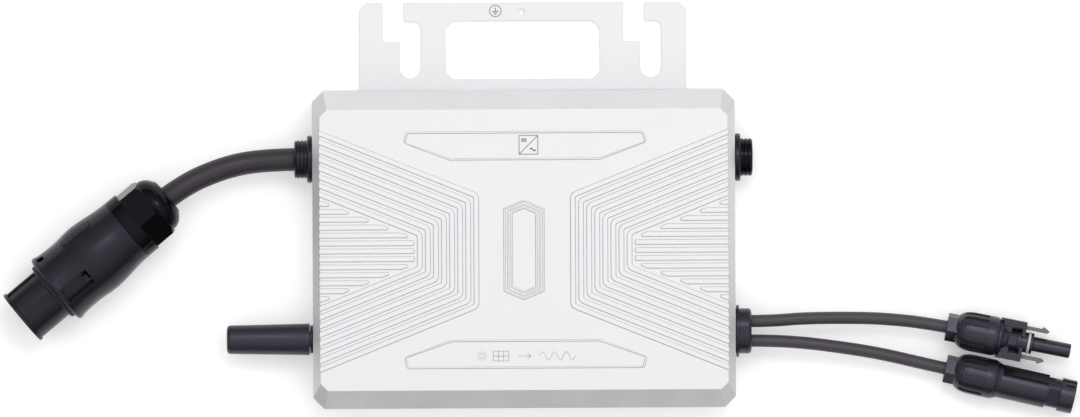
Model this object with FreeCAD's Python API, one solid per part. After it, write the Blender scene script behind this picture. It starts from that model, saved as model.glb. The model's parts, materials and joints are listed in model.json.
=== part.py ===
import FreeCAD, Part
import math
import os

from FreeCAD import Vector

# A module-level solar inverter lying on its back, in millimetres.
# Origin: centre of the rear face. +X towards the DC side, +Y towards the bracket, +Z out of the front.

# Housing
WIDTH = 199.0
HEIGHT = 149.5
THICKNESS = 30.0
CORNER = 5.2            # plan chamfer of the four corners
FACE_CORNER = 3.4       # the same chamfer, at the front face
BEVEL_DEPTH = 4.6
BEVEL_LONG = 8.7        # bevel of the top and bottom edges, in plan
BEVEL_SIDE = 3.5        # bevel of the two sides, in plan
WALL = 4.2
FACE_WALL = 2.8
RIM = 2.0               # wall left outside the rear cover
COVER_GAP = 0.25
COVER_THICKNESS = 4.3
GASKET_THICKNESS = 0.5
HALF_X = WIDTH / 2
HALF_Y = HEIGHT / 2
LEDGE_Z = COVER_THICKNESS + GASKET_THICKNESS
FACE_X = HALF_X - BEVEL_SIDE
FACE_Y = HALF_Y - BEVEL_LONG

# Raised pattern of the front face
RELIEF = 0.5
RELIEF_ROOT = 1.0
BAR_PITCH = 3.8
BAR_WIDTH = 2.5
BAR_ROUND = 1.1
BAR_OVERHANG = 0.5
BAR_CORNER_X = 21.5     # vertical run of the innermost C bar
BAR_CORNER_Y = 26.9
BAR_SLOPE = 21.9        # degrees
PATTERN_X = 0.3         # the bars' middle, from the housing's
PATTERN_Y = -0.35
C_BARS = 8
STRAIGHT_BARS = 13
STRAIGHT_PITCH = 3.74
LINE_WIDTH = 0.9
LINE_HEIGHT = 0.35
BAR_CHAMFER = 0.25
LINE_CHAMFER = 0.2
LABEL_X = 0.6           # the label fields' middle
LABEL_HALF = 57.2       # at the widest
LABEL_CORNER_HALF = 55.9
LABEL_SHORT_HALF = 35.3
LABEL_OUTER_Y = 55.8
LABEL_END_Y = 50.5
LABEL_INNER_Y = 42.3
LABEL_ROUND = 1.6
HEXAGON_ROUND = 1.3

# Bracket
SHEET = 2.0
BRACKET_HALF = 77.0
BRACKET_TOP = 115.7
BRACKET_LOW = 41.0
BRACKET_CHAMFER = 3.2
POCKET_GAP = 0.3
SLOT_WIDTH = 10.0
SLOT_STEP = 8.0         # sideways shift from the entry to the slot
SLOT_ENTRY_Y = 97.2
SLOT_TOP_Y = 106.8
SLOT_END_Y = 80.2
SLOT_LEFT_X = -66.0
SLOT_RIGHT_X = 47.4
WINDOW_HALF = 36.4
WINDOW_LOW = 79.6
WINDOW_TOP = 107.1
WINDOW_CHAMFER = 3.5
EARTH_HOLE = (-0.5, 111.2)
EARTH_HOLE_R = 1.65

# Screws
SCREW_R = 1.45
SCREW_HOLE_R = 1.5
SCREW_HEAD_R = 2.9
SCREW_HEAD = 1.5
SCREW_LENGTH = 14.0
BOSS_R = 4.4
COVER_SCREWS = [(92, 67), (-92, 67), (92, -67), (-92, -67), (92, 0), (-92, 0), (35, -67), (-35, -67)]
BRACKET_SCREWS = [(-62, 58), (-21, 58), (21, 58), (62, 58)]
BOARD_SCREWS = [(78, 54), (-78, 54), (78, -54), (-78, -54)]

# Side fittings
PORT_Z = 14.0
AC_PORT_Y = 42.6
ANTENNA_Y = -42.3
SPARE_Y = 42.6
DC_PORT_Y = -39.4
SHANK_R = 7.8
SHANK_HOLE_R = 7.9
SHANK_IN = 10.0
FLANGE_GASKET = 0.5
LOCKNUT_THICKNESS = 3.4
LOCKNUT_R = 10.4

# Leads
AC_LEAD_R = 5.4
DC_LEAD_R = 2.95
DC_EXIT = 4.6           # each DC lead's distance from the gland's middle
AC_PLUG_ORIGIN = (-236.6, -31.3, 18.3)
AC_PLUG_ANGLE = 39.7
DC_SOCKET_ORIGIN = (199.4, -38.1, 9.4)
DC_SOCKET_ANGLE = -11.6
DC_PLUG_ORIGIN = (198.6, -57.8, 9.4)
DC_PLUG_ANGLE = -13.0

AC_ROUTE = [(-102.0, 42.6, 14.0), (-121.0, 42.6, 14.0), (-141.3, 39.2, 15.6),
            (-163.89, 29.06, 18.3), (-181.59, 14.37, 18.3)]
DC_UPPER_ROUTE = [(102.0, -34.8, 14.0), (116.0, -34.8, 14.0), (131.5, -33.6, 13.6),
                  (149.0, -33.5, 12.5), (168.0, -33.9, 10.8), (190.58, -36.29, 9.4), (212.33, -40.75, 9.4)]
DC_LOWER_ROUTE = [(102.0, -44.0, 14.0), (116.0, -44.0, 14.0), (133.0, -45.2, 13.5),
                  (150.0, -47.5, 12.4), (168.0, -50.5, 10.8), (189.83, -55.78, 9.4), (211.46, -60.77, 9.4)]

# AC plug, along its axis from the mating mouth to the lead
AC_SHROUD_R = 13.1
AC_SHROUD_BORE = 11.2
AC_LIP_R = 13.8
AC_BODY_FRONT = 20.4
AC_SEAM = 64.6
AC_NUT_END = 82.0
AC_DOME_END = 89.5
AC_NUT_R = 16.2
AC_NUT_FLATS = 28.2     # across the flats
AC_NUT_COLLAR = 6.0     # round length in front of the flats
AC_NUT_TURN = 38.0      # degrees, one corner of the hexagon from the local Y axis
AC_BODY_BORE = 14.0
AC_PIN_R = 1.5
AC_PIN_CIRCLE = 5.6
AC_LEAD_START = 71.5
AC_THREAD_R = 12.8
AC_THREAD_END = 73.0
AC_THREAD_BORE = 12.0
AC_CLAMP_R = 11.7
AC_CLAMP_BORE = 7.5
AC_CLAMP_START = 63.5
AC_CLAMP_LENGTH = 12.0
AC_CROWN = [(24.0, 17.5), (27.0, 17.25), (31.0, 17.1), (35.0, 17.2), (39.0, 17.6), (43.0, 17.9), (47.0, 17.8),
            (51.0, 17.4), (55.0, 16.9), (58.0, 16.5), (61.0, 16.25), (64.6, 16.2)]
AC_RIB_END = 18.0
AC_RIB_HEIGHT = 0.8
AC_RIB_ANGLES = (-67, -4.5, 4.5, 140, 220)
AC_STOP_ANGLE = -9.5
AC_WINDOW_START = 22.8
AC_WINDOW_END = 38.0
AC_WINDOW_ANGLE = 16.5
AC_SLOT_ANGLE = -64.0
AC_POCKET_FLOOR = 13.9
AC_PAD_START = 36.5
AC_PAD_END = 53.5
AC_PAD_WIDTH = 6.6
AC_PAD_HEIGHT = 0.6
AC_PAD_PITCH = 1.7
AC_PAD_ANGLE = -57.0

# DC connectors, along the axis from the lead to the mating end
DC_NUT_R = 9.3
DC_COLLAR = 5.5
DC_COLLAR_R = 6.82      # across the corners, halved
DC_COLLAR_TURN = -16.0
DC_NUT_END = 24.5
DC_RECESSES = 14
DC_RECESS_WIDTH = 2.2
DC_RECESS_START = 7.6
DC_RECESS_END = 19.0
DC_RECESS_DEPTH = 0.7
DC_RECESS_TURN = 8.0
DC_LEAD_END = 13.2
DC_TUBE_R = 3.45
DC_SOCKET_LENGTH = 59.4
DC_PLUG_LENGTH = 62.4
DC_BARREL_R = 7.95
DC_NECK_R = 7.0
DC_NECK_START = 49.0
DC_NECK_END = 55.4
DC_SLOT_TURN = -50.0    # the plug's latch slots, from the top towards +Y
DC_SLOT_HALF = 3.6
DC_WINDOW_TURN = 22.0

X = Vector(1, 0, 0)
Y = Vector(0, 1, 0)
Z = Vector(0, 0, 1)
ORIGIN = Vector(0, 0, 0)


def box(x0, x1, y0, y1, z0, z1):
    return Part.makeBox(x1 - x0, y1 - y0, z1 - z0, Vector(x0, y0, z0))


def disc(r, start, direction, length):
    return Part.makeCylinder(r, length, Vector(*start), direction)


def prism(points, z0, z1):
    corners = [Vector(x, y, z0) for x, y in points]
    face = Part.Face(Part.makePolygon(corners + corners[:1]))
    return face.extrude(Vector(0, 0, z1 - z0))


def section(points):
    """A closed wire in the YZ plane at x, from (x, y, z) points."""
    corners = [Vector(*p) for p in points]
    return Part.makePolygon(corners + corners[:1])


def octagon(half_x, half_y, corner):
    return [(half_x, half_y - corner), (half_x - corner, half_y), (corner - half_x, half_y),
            (-half_x, half_y - corner), (-half_x, corner - half_y), (corner - half_x, -half_y),
            (half_x - corner, -half_y), (half_x, corner - half_y)]


def outline(half_x, half_y, corner, z):
    return section([(x, y, z) for x, y in octagon(half_x, half_y, corner)])


def turned(profile):
    """A solid of revolution about the X axis, from (x, radius) points."""
    corners = [Vector(s, r, 0) for s, r in profile]
    face = Part.Face(Part.makePolygon(corners + corners[:1]))
    return face.revolve(ORIGIN, X, 360)


def ring(outer, inner, start, length):
    """A ring along the X axis."""
    return turned([(start, inner), (start, outer), (start + length, outer), (start + length, inner)])


def mirrored(shape, normal):
    return shape.mirror(ORIGIN, normal)


def placed(shape, origin, angle):
    """Turn a shape built along +X about the vertical, then move it to its place."""
    copy = shape.copy()
    copy.rotate(ORIGIN, Z, angle)
    copy.translate(Vector(*origin))
    return copy


def side(shape, x, y, direction):
    """Place a fitting built along +X on the left (-1) or right (+1) side wall."""
    copy = shape.copy()
    if direction < 0:
        copy.rotate(ORIGIN, Z, 180)
    copy.translate(Vector(x, y, PORT_Z))
    return copy


# ---------------------------------------------------------------- front pattern

def slope_tangent():
    return math.tan(math.radians(BAR_SLOPE))


def slope_offset(offset):
    """Height of the sloped line at the C bars' corner, for a bar set in by this offset."""
    return BAR_CORNER_Y + slope_tangent() * offset - offset / math.cos(math.radians(BAR_SLOPE))


def c_line(offset, sign):
    """The three-sided line of a C bar, from the top edge of the face round to the bottom edge."""
    end_x = FACE_X + BAR_OVERHANG
    corner_x = BAR_CORNER_X + sign * PATTERN_X + offset
    corner_y = slope_offset(offset)
    end_y = corner_y + slope_tangent() * (end_x - corner_x)
    points = [(end_x, end_y), (corner_x, corner_y), (corner_x, -corner_y), (end_x, -end_y)]
    return [(sign * x, y + PATTERN_Y) for x, y in points]


def rounded(solid, corners, radius):
    """Round the upright edges of a bar that pass through these corners."""
    edges = []
    for edge in solid.Edges:
        low, high = edge.BoundBox.ZMin, edge.BoundBox.ZMax
        centre = edge.CenterOfMass
        upright = high - low > RELIEF
        if upright and any(math.hypot(centre.x - x, centre.y - y) < 0.01 for x, y in corners):
            edges.append(edge)
    return solid.makeFillet(radius, edges)


def softened(solid, size):
    """Chamfer the upper rim of a raised shape."""
    top = solid.BoundBox.ZMax
    return solid.makeChamfer(size, [edge for edge in solid.Edges if edge.BoundBox.ZMin > top - 0.01])


def c_bar(index, sign):
    outer = c_line(index * BAR_PITCH, sign)
    inner = c_line(index * BAR_PITCH + BAR_WIDTH, sign)
    bar = prism(outer + inner[::-1], THICKNESS - RELIEF_ROOT, THICKNESS + RELIEF)
    bar = rounded(bar, outer[1:3], BAR_ROUND + BAR_WIDTH)
    return softened(rounded(bar, inner[1:3], BAR_ROUND), BAR_CHAMFER)


def straight_end(y, sign):
    """Where a straight bar's edge at this height meets the innermost C bar's sloped gap."""
    offset = C_BARS * BAR_PITCH
    past_corner = max(0.0, (abs(y) - slope_offset(offset)) / slope_tangent())
    return BAR_CORNER_X + sign * PATTERN_X + offset + past_corner


def straight_bar(index, sign):
    y = index * STRAIGHT_PITCH
    low, high = y - BAR_WIDTH / 2, y + BAR_WIDTH / 2
    end_x = FACE_X + BAR_OVERHANG
    points = [(end_x, low), (straight_end(low, sign), low), (straight_end(high, sign), high), (end_x, high)]
    points = [(sign * x, y + PATTERN_Y) for x, y in points]
    bar = prism(points, THICKNESS - RELIEF_ROOT, THICKNESS + RELIEF)
    return softened(rounded(bar, points[1:3], BAR_WIDTH * 0.3), BAR_CHAMFER)


def line_frame(outer, inner, corners, radius):
    """A raised line between two outlines, with some of its corners rounded."""
    solid = rounded(prism(outer, THICKNESS - RELIEF_ROOT, THICKNESS + LINE_HEIGHT),
                    [outer[i] for i in corners], radius)
    hole = rounded(prism(inner, THICKNESS - 2, THICKNESS + 2), [inner[i] for i in corners],
                   radius - LINE_WIDTH * 0.8)
    return softened(solid.cut(hole), LINE_CHAMFER)


def label_outline(sign):
    """Raised outline of a label field: a rectangle's long side, short ends and two slopes."""
    def field(inset):
        wide, short = LABEL_HALF - inset, LABEL_SHORT_HALF - inset * 0.6
        corner = LABEL_CORNER_HALF - inset
        outer_y, end_y, inner_y = LABEL_OUTER_Y - inset, LABEL_END_Y + inset * 0.2, LABEL_INNER_Y + inset
        corners = [(corner, outer_y), (-corner, outer_y), (-wide, end_y), (-short, inner_y),
                   (short, inner_y), (wide, end_y)]
        return [(LABEL_X + x, sign * y) for x, y in corners]
    return line_frame(field(0.0), field(LINE_WIDTH), (0, 1, 2, 5), LABEL_ROUND)


def hexagon(half_width):
    slope_rise = half_width * 0.43
    shoulder = 14.2 + half_width * 0.55
    return [(half_width, shoulder), (0, shoulder + slope_rise), (-half_width, shoulder),
            (-half_width, -shoulder), (0, -shoulder - slope_rise), (half_width, -shoulder)]


def hexagon_outlines():
    return [line_frame(hexagon(half), hexagon(half - LINE_WIDTH), range(6), HEXAGON_ROUND)
            for half in (9.65, 7.95, 6.25)]


def front_relief():
    bars = [c_bar(index, sign) for index in range(C_BARS) for sign in (-1, 1)]
    reach = STRAIGHT_BARS // 2
    bars += [straight_bar(index, sign) for index in range(-reach, reach + 1) for sign in (-1, 1)]
    return bars + [label_outline(1), label_outline(-1)] + hexagon_outlines()


# ---------------------------------------------------------------- housing

def housing_block():
    low = Part.makeLoft([outline(HALF_X, HALF_Y, CORNER, 0),
                         outline(HALF_X, HALF_Y, CORNER, THICKNESS - BEVEL_DEPTH)], True, True)
    bevel = Part.makeLoft([outline(HALF_X, HALF_Y, CORNER, THICKNESS - BEVEL_DEPTH),
                           outline(FACE_X, FACE_Y, FACE_CORNER, THICKNESS)], True, True)
    return low.fuse(bevel)


def housing_shell():
    rabbet = prism(octagon(HALF_X - RIM, HALF_Y - RIM, CORNER - 1), -1, LEDGE_Z)
    cavity_x, cavity_y = HALF_X - WALL, HALF_Y - WALL
    cavity_low = THICKNESS - BEVEL_DEPTH - 1
    cavity_high = THICKNESS - FACE_WALL
    cavity = prism(octagon(cavity_x, cavity_y, CORNER - 2), LEDGE_Z - 1, cavity_low)
    dome = Part.makeLoft([outline(cavity_x, cavity_y, CORNER - 2, cavity_low),
                          outline(FACE_X - WALL + 1, FACE_Y - WALL + 2.2, 2, cavity_high)], True, True)
    return housing_block().cut(rabbet.fuse(cavity).fuse(dome))


def boss(x, y, low, hole_depth):
    solid = disc(BOSS_R, (x, y, low), Z, THICKNESS - FACE_WALL - low + 0.5)
    return solid.cut(disc(SCREW_HOLE_R, (x, y, low - 1), Z, hole_depth + 1))


def front_housing():
    bosses = [boss(x, y, LEDGE_Z, SCREW_LENGTH) for x, y in COVER_SCREWS + BRACKET_SCREWS]
    bosses += [boss(x, y, BOARD_TOP, 10) for x, y in BOARD_SCREWS]
    pedestals = [box(x - 5, x + 5, TRANSISTOR_Y - 5, TRANSISTOR_Y + 5, PAD_TOP, THICKNESS - FACE_WALL + 0.5)
                 for x in TRANSISTOR_X]
    posts = Part.makeCompound(bosses + pedestals).common(housing_block())
    shell = housing_shell().multiFuse(posts.Solids + front_relief())
    ports = [disc(SHANK_HOLE_R, (sign * (HALF_X - WALL - 1), y, PORT_Z), X * sign, WALL + 2)
             for sign, y in ((-1, AC_PORT_Y), (1, SPARE_Y), (1, DC_PORT_Y))]
    ports.append(disc(ANTENNA_STUB_R + 0.1, (-HALF_X - 1, ANTENNA_Y, PORT_Z), X, WALL + 2))
    notch_half = BRACKET_HALF + POCKET_GAP
    notch = box(-notch_half, notch_half, HALF_Y - RIM - 1, HALF_Y + 1, -1, SHEET)
    return shell.cut(Part.makeCompound(ports + [notch])).removeSplitter()


def sunk_hole(x, y, height):
    cone = Part.makeCone(SCREW_HEAD_R + 0.1, SCREW_HOLE_R, SCREW_HEAD, Vector(x, y, 0), Z)
    return cone.fuse(disc(SCREW_HOLE_R, (x, y, -1), Z, height + 2)).fuse(
        disc(SCREW_HEAD_R + 0.1, (x, y, -1), Z, 1))


def sunk_screw(x, y, low, length):
    """A countersunk cross-head screw pointing up."""
    head = Part.makeCone(SCREW_HEAD_R, SCREW_R, SCREW_HEAD, Vector(x, y, low), Z)
    screw = head.fuse(disc(SCREW_R, (x, y, low), Z, length))
    slot = box(x - 1.6, x + 1.6, y - 0.3, y + 0.3, low - 1, low + 0.8)
    cross = box(x - 0.3, x + 0.3, y - 1.6, y + 1.6, low - 1, low + 0.8)
    return screw.cut(slot.fuse(cross))


def rear_cover():
    plate = prism(octagon(HALF_X - RIM - COVER_GAP, HALF_Y - RIM - COVER_GAP, CORNER - 1), 0, COVER_THICKNESS)
    pocket = box(-BRACKET_HALF - POCKET_GAP, BRACKET_HALF + POCKET_GAP, BRACKET_LOW - POCKET_GAP, HALF_Y,
                 -1, SHEET)
    holes = [sunk_hole(x, y, COVER_THICKNESS) for x, y in COVER_SCREWS]
    holes += [disc(SCREW_HOLE_R, (x, y, 0), Z, COVER_THICKNESS + 1) for x, y in BRACKET_SCREWS]
    return plate.cut(Part.makeCompound([pocket] + holes))


def cover_gasket():
    outer = octagon(HALF_X - RIM - COVER_GAP, HALF_Y - RIM - COVER_GAP, CORNER - 1)
    inner = octagon(HALF_X - WALL, HALF_Y - WALL, CORNER - 2)
    return prism(outer, COVER_THICKNESS, LEDGE_Z).cut(prism(inner, 0, LEDGE_Z + 1))


def cover_screws():
    return Part.makeCompound([sunk_screw(x, y, 0.0, SCREW_LENGTH) for x, y in COVER_SCREWS])


def bracket_screws():
    return Part.makeCompound([sunk_screw(x, y, 0.0, SCREW_LENGTH) for x, y in BRACKET_SCREWS])


# ---------------------------------------------------------------- bracket

def j_slot(x):
    """Entry from the top edge, a sideways step and a round-ended slot with a hook over its top."""
    low, high = -1, SHEET + 1
    entry = box(x, x + SLOT_WIDTH, SLOT_ENTRY_Y, BRACKET_TOP + 1, low, high)
    slot_x = x + SLOT_STEP
    end_y = SLOT_END_Y + SLOT_WIDTH / 2
    slot = box(slot_x, slot_x + SLOT_WIDTH, end_y, SLOT_TOP_Y, low, high)
    corner = [edge for edge in slot.Edges
              if edge.Length > SHEET + 1.5 and abs(edge.CenterOfMass.x - slot_x - SLOT_WIDTH) < 0.01
              and abs(edge.CenterOfMass.y - SLOT_TOP_Y) < 0.01]
    slot = slot.makeFillet(2.7, corner)
    return entry.fuse(slot).fuse(disc(SLOT_WIDTH / 2, (slot_x + SLOT_WIDTH / 2, end_y, low), Z, high - low))


def mounting_bracket():
    half, chamfer = BRACKET_HALF, BRACKET_CHAMFER
    shoulder = BRACKET_TOP - chamfer
    sheet = prism([(-half, BRACKET_LOW), (half, BRACKET_LOW), (half, shoulder), (half - chamfer, BRACKET_TOP),
                   (chamfer - half, BRACKET_TOP), (-half, shoulder)], 0, SHEET)
    mid_y = (WINDOW_LOW + WINDOW_TOP) / 2
    window = prism([(x, y + mid_y) for x, y in
                    octagon(WINDOW_HALF, (WINDOW_TOP - WINDOW_LOW) / 2, WINDOW_CHAMFER)], -1, SHEET + 1)
    earth = disc(EARTH_HOLE_R, (*EARTH_HOLE, -1), Z, SHEET + 2)
    holes = [sunk_hole(x, y, SHEET) for x, y in BRACKET_SCREWS]
    return sheet.cut(Part.makeCompound([window, earth, j_slot(SLOT_LEFT_X), j_slot(SLOT_RIGHT_X)] + holes))


# ---------------------------------------------------------------- circuit

BOARD_LOW = 8.0
BOARD_TOP = 9.6
BOARD_HALF_X = 84.0
BOARD_HALF_Y = 60.5
PART_LOW = BOARD_TOP + 0.05
TRANSISTOR_X = [-42, -26, -10, 6, 38, 54]
TRANSISTOR_Y = 48.0
TRANSISTOR_TOP = 14.2
PAD_TOP = 15.2
LEAD_END = 72.0
POST_HEIGHT = 8.0


def main_circuit_board():
    board = box(-BOARD_HALF_X, BOARD_HALF_X, -BOARD_HALF_Y, BOARD_HALF_Y, BOARD_LOW, BOARD_TOP)
    holes = [disc(SCREW_HOLE_R, (x, y, 0), Z, 20) for x, y in BOARD_SCREWS]
    holes += [disc(BOSS_R + 0.3, (x, y, 0), Z, 20) for x, y in BRACKET_SCREWS]
    return board.cut(Part.makeCompound(holes))


def board_screws():
    screws = []
    for x, y in BOARD_SCREWS:
        head = disc(2.7, (x, y, BOARD_LOW - 1.8), Z, 1.8)
        screw = head.fuse(disc(SCREW_R, (x, y, BOARD_LOW - 1.8), Z, 10))
        screws.append(screw.cut(disc(1.2, (x, y, BOARD_LOW - 2), Z, 1)))
    return Part.makeCompound(screws)


TRANSFORMER = (-6.0, -2.0)


def transformer_core():
    x, y = TRANSFORMER
    core = box(x - 17, x + 17, y - 13, y + 13, PART_LOW, 25)
    windows = [box(x + sign * 9 - 3.5, x + sign * 9 + 3.5, y - 14, y + 14, 12.8, 22) for sign in (-1, 1)]
    return core.cut(Part.makeCompound(windows))


def transformer_winding():
    x, y = TRANSFORMER
    outer = box(x - 12.2, x + 12.2, y - 19, y + 19, 13.1, 21.7)
    uprights = [edge for edge in outer.Edges if abs(edge.Length - 8.6) < 0.01]
    outer = outer.makeFillet(4.0, uprights)
    return outer.cut(box(x - 5.8, x + 5.8, y - 13.3, y + 13.3, 12, 23))


def input_capacitors():
    cans = []
    for y in (-20.0, -2.0, 16.0):
        can = turned([(0, 0), (0, 7.2), (0.6, 7.8), (2.6, 7.8), (3.1, 7.3), (3.6, 7.8), (28.4, 7.8),
                      (29, 7.2), (29, 0)])
        can.translate(Vector(36, y, PART_LOW + 7.9))
        cans.append(can)
    return Part.makeCompound(cans)


def film_capacitors():
    blocks = []
    for x, y in ((-58, 26), (-58, 10), (18, -45)):
        block = box(x - 13, x + 13, y - 5.5, y + 5.5, PART_LOW, PART_LOW + 14)
        blocks.append(block.makeChamfer(0.8, block.Edges))
    return Part.makeCompound(blocks)


CHOKE = (-52.0, -14.0)


def choke_core():
    x, y = CHOKE
    low = PART_LOW + 2.0
    return disc(10.5, (x, y, low), Z, 8).cut(disc(6.0, (x, y, low - 1), Z, 10))


def choke_winding():
    """Turns of thick wire as flat loops standing round the core."""
    x, y = CHOKE
    low = PART_LOW
    loops = []
    for turn in range(20):
        angle = turn * 18.0
        loop = box(4.2, 12.3, -0.55, 0.55, low, low + 12).cut(box(5.9, 10.6, -1, 1, low + 1.9, low + 10.1))
        loop.rotate(ORIGIN, Z, angle)
        loop.translate(Vector(x, y, 0))
        loops.append(loop)
    return Part.makeCompound(loops)


def power_transistors():
    cans = []
    for x in TRANSISTOR_X:
        body = box(x - 4.9, x + 4.9, TRANSISTOR_Y - 4.5, TRANSISTOR_Y + 4.5, PART_LOW, TRANSISTOR_TOP)
        legs = [box(x + step - 0.4, x + step + 0.4, TRANSISTOR_Y - 8, TRANSISTOR_Y - 4.5,
                    PART_LOW, PART_LOW + 0.8) for step in (-2.5, 0, 2.5)]
        cans.append(body.multiFuse(legs))
    return Part.makeCompound(cans)


def thermal_pads():
    pads = [box(x - 4.6, x + 4.6, TRANSISTOR_Y - 4.6, TRANSISTOR_Y + 4.6, TRANSISTOR_TOP, PAD_TOP)
            for x in TRANSISTOR_X]
    return Part.makeCompound(pads)


def grid_relays():
    relays = []
    for y in (26.0, 40.0):
        relay = box(-40, -20, y - 12.5, y - 2.5, PART_LOW, PART_LOW + 15)
        relays.append(relay.makeChamfer(0.6, relay.Edges))
    return Part.makeCompound(relays)


def control_chips():
    chips = [box(-12, 2, -42, -28, PART_LOW, PART_LOW + 1.4), box(40, 47, -46, -39, PART_LOW, PART_LOW + 1.2),
             box(-34, -28, -42, -34, PART_LOW, PART_LOW + 1.4)]
    return Part.makeCompound(chips)


def radio_module():
    board = box(-72, -54, -52, -34, PART_LOW, PART_LOW + 1.0)
    can = box(-70.5, -57, -50.5, -35.5, PART_LOW + 1.0, PART_LOW + 3.4)
    return board.fuse(can)


def surge_varistors():
    discs = []
    for x in (-62.0, -54.0):
        varistor = turned([(-2.2, 0), (-2.2, 6.0), (-1.4, 7), (1.4, 7), (2.2, 6.0), (2.2, 0)])
        varistor.translate(Vector(x, 44.0, PART_LOW + 7.1))
        discs.append(varistor)
    return Part.makeCompound(discs)


def inner_lead_places():
    """Side (-1 AC, +1 DC), y and radius of every wire between a gland and the board."""
    ac = [(-1, AC_PORT_Y + step, 1.5) for step in (-3.6, 0.0, 3.6)]
    dc = [(1, DC_PORT_Y + step, 1.9) for step in (-DC_EXIT, DC_EXIT)]
    return ac + dc


def terminal_posts():
    posts = []
    for sign, y, r in inner_lead_places():
        x = sign * (LEAD_END - 2.5)
        posts.append(box(x - 2.5, x + 2.5, y - 1.7, y + 1.7, PART_LOW, PART_LOW + POST_HEIGHT))
    return Part.makeCompound(posts)


def inner_leads():
    leads = []
    start = AC_ROUTE[0][0] * -1
    for sign, y, r in inner_lead_places():
        leads.append(disc(r, (sign * LEAD_END, y, PORT_Z), X * sign, start - LEAD_END))
    return Part.makeCompound(leads)


# ---------------------------------------------------------------- side fittings, built along +X from the wall

def hex_ring(across_radius, bore, start, length):
    points = [(start, across_radius * math.cos(math.radians(60 * i)),
               across_radius * math.sin(math.radians(60 * i))) for i in range(6)]
    face = Part.Face(section(points))
    return face.extrude(X * length).cut(disc(bore, (start - 1, 0, 0), X, length + 2))


def gland_gaskets():
    seal = ring(10.6, 8.1, 0, FLANGE_GASKET)
    small = ring(6.6, ANTENNA_STUB_R + 0.1, 0, FLANGE_GASKET)
    return Part.makeCompound([side(seal, -HALF_X, AC_PORT_Y, -1), side(seal, HALF_X, SPARE_Y, 1),
                              side(seal, HALF_X, DC_PORT_Y, 1), side(small, -HALF_X, ANTENNA_Y, -1)])


def gland_locknuts():
    nut = hex_ring(LOCKNUT_R, SHANK_R + 0.05, -WALL - LOCKNUT_THICKNESS, LOCKNUT_THICKNESS)
    small = hex_ring(7.2, ANTENNA_STUB_R + 0.05, -WALL - LOCKNUT_THICKNESS, LOCKNUT_THICKNESS)
    return Part.makeCompound([side(nut, -HALF_X, AC_PORT_Y, -1), side(nut, HALF_X, SPARE_Y, 1),
                              side(nut, HALF_X, DC_PORT_Y, 1), side(small, -HALF_X, ANTENNA_Y, -1)])


GLAND_FLANGE_R = 11.15
GLAND_FLANGE_END = 2.4
GLAND_NUT_END = 8.4
GLAND_NUT_R = 8.9
GLAND_STUB_R = 7.0
GLAND_STUB_END = 5.6
AC_LEAD_HOLE = 5.6


def ac_gland_body():
    profile = [(-SHANK_IN, 5.5), (-SHANK_IN, SHANK_R), (0, SHANK_R), (FLANGE_GASKET, SHANK_R),
               (FLANGE_GASKET, GLAND_FLANGE_R), (GLAND_FLANGE_END - 0.5, GLAND_FLANGE_R),
               (GLAND_FLANGE_END, GLAND_FLANGE_R - 0.5), (GLAND_FLANGE_END, GLAND_STUB_R),
               (GLAND_STUB_END, GLAND_STUB_R), (GLAND_STUB_END, 5.5)]
    return side(turned(profile), -HALF_X, AC_PORT_Y, -1)


def ac_gland_seal():
    return side(ring(6.7, AC_LEAD_HOLE, GLAND_STUB_END + 0.1, 1.3), -HALF_X, AC_PORT_Y, -1)


def ribbed_nut(start, end, radius, ribs, bore_start, bore, mouth):
    """A round nut with ribs round it, hollow over the stub and with a hole in its end."""
    pitch = (end - start - 0.6) / ribs
    profile = [(start, bore), (start, radius)]
    for rib in range(ribs):
        s = start + rib * pitch
        profile += [(s + pitch * 0.62, radius), (s + pitch * 0.74, radius - 0.35),
                    (s + pitch * 0.94, radius - 0.35), (s + pitch, radius)]
    profile += [(end, radius - 0.8), (end, mouth), (bore_start, mouth), (bore_start, bore)]
    return turned(profile)


def ac_gland_nut():
    nut = ribbed_nut(GLAND_FLANGE_END + 0.1, GLAND_NUT_END, GLAND_NUT_R, 3, 7.1, GLAND_STUB_R + 0.1,
                     AC_LEAD_HOLE)
    return side(nut, -HALF_X, AC_PORT_Y, -1)


SPARE_FLANGE_END = 2.7
SPARE_STUB_END = 7.2
SPARE_CAP_END = 8.7


def spare_port_body():
    flange = SPARE_FLANGE_END
    profile = [(-SHANK_IN, 5.5), (-SHANK_IN, SHANK_R), (FLANGE_GASKET, SHANK_R), (FLANGE_GASKET, 11.2),
               (flange - 0.5, 11.2), (flange, 10.7), (flange, GLAND_STUB_R), (SPARE_STUB_END, GLAND_STUB_R),
               (SPARE_STUB_END, 5.5)]
    return side(turned(profile), HALF_X, SPARE_Y, 1)


def spare_port_seal():
    return side(ring(8.0, GLAND_STUB_R + 0.1, SPARE_FLANGE_END + 0.2, 1.2), HALF_X, SPARE_Y, 1)


def spare_port_cap():
    start, end = SPARE_FLANGE_END + 0.1, SPARE_CAP_END
    profile = [(start, 0), (start, 8.85)]
    for groove in (start + 1.2, start + 3.0):
        profile += [(groove, 8.85), (groove + 0.15, 8.5), (groove + 0.6, 8.5), (groove + 0.75, 8.85)]
    profile += [(end - 1.0, 8.85), (end - 0.4, 8.2), (end - 0.1, 6.0), (end, 3.0), (end, 0)]
    room = SPARE_STUB_END + 0.1
    bore = GLAND_STUB_R + 0.1
    hollow = turned([(start - 0.2, 0), (start - 0.2, 8.1), (start + 1.4, 8.1), (start + 1.4, bore),
                     (room, bore), (room, 0)])
    return side(turned(profile).cut(hollow), HALF_X, SPARE_Y, 1)


ANTENNA_STUB_R = 4.0
ANTENNA_BASE_R = 7.45
ANTENNA_TIP_R = 6.75
ANTENNA_LENGTH = 40.7


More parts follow.
